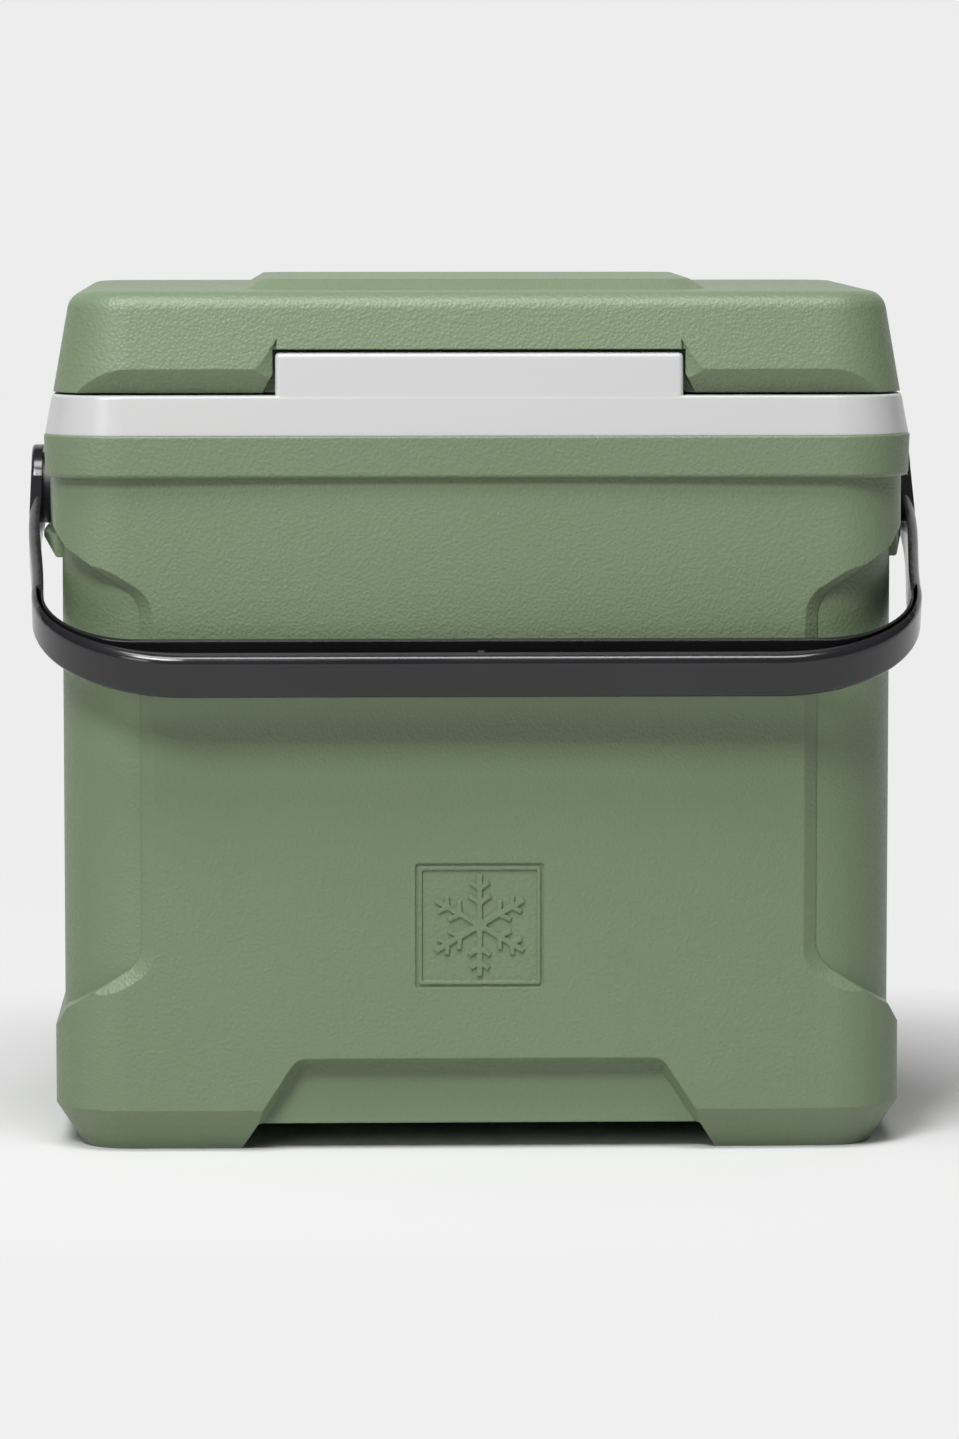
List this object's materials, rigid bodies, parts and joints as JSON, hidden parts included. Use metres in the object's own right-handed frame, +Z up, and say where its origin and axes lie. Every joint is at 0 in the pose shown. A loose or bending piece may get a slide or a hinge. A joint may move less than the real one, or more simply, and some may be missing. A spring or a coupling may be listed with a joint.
{
  "type": "hard-sided cooler chest",
  "caption": "Insulated hard-sided cooler chest with a hinged lid, an open white tub and a bail handle that swings over the lid.",
  "frame": {"origin": "on the floor the feet stand on, under the middle of the chest body", "axes": "+X to the right along the handle's pivots, +Y from the front (grip and catch tab side) to the hinges at the back, +Z up"},
  "size_m": [0.4464, 0.3471, 0.4257],
  "materials": {
    "green_shell": "fine pebbled grain, soft sheen",
    "green_lid": "fine pebbled grain, soft sheen",
    "white_liner": "semi-gloss",
    "foam": "rigid closed-cell foam",
    "black_handle": "smooth gloss",
    "black_bush": "satin",
    "black_stud": "satin",
    "hinge_black": "satin",
    "steel_pin": "satin",
    "steel_screw": "zinc plated",
    "brass_anchor": "brass"
  },
  "bodies": {
    "cooler_body": {"outer_shell": "green_shell", "body_insulation": "foam", "inner_liner": "white_liner", "hinge_base_left": "hinge_black", "hinge_base_right": "hinge_black", "hinge_pin_left": "steel_pin", "hinge_pin_right": "steel_pin", "base_screws_left": "steel_screw", "base_screws_right": "steel_screw", "pivot_stud_left": "black_stud", "pivot_stud_right": "black_stud", "pivot_screw_left": "steel_screw", "pivot_screw_right": "steel_screw", "pivot_anchor_left": "brass_anchor", "pivot_anchor_right": "brass_anchor"},
    "lid": {"lid_cover": "green_lid", "lid_insulation": "foam", "lid_liner": "white_liner", "hinge_leaf_left": "hinge_black", "hinge_leaf_right": "hinge_black", "leaf_screws_left": "steel_screw", "leaf_screws_right": "steel_screw"},
    "handle": {"carry_handle": "black_handle", "handle_bush_left": "black_bush", "handle_bush_right": "black_bush"}
  },
  "joints": [
    {"name": "lid_hinge", "type": "hinge", "parent": "cooler_body", "child": "lid", "pos_m": [0, 0.159, 0.3714], "axis": [-1, 0, 0], "range_deg": [0, 105]},
    {"name": "handle_swing", "type": "hinge", "parent": "cooler_body", "child": "handle", "pos_m": [0, 0, 0.318], "axis": [-1, 0, 0], "range_deg": [0, 229.2]}
  ]
}
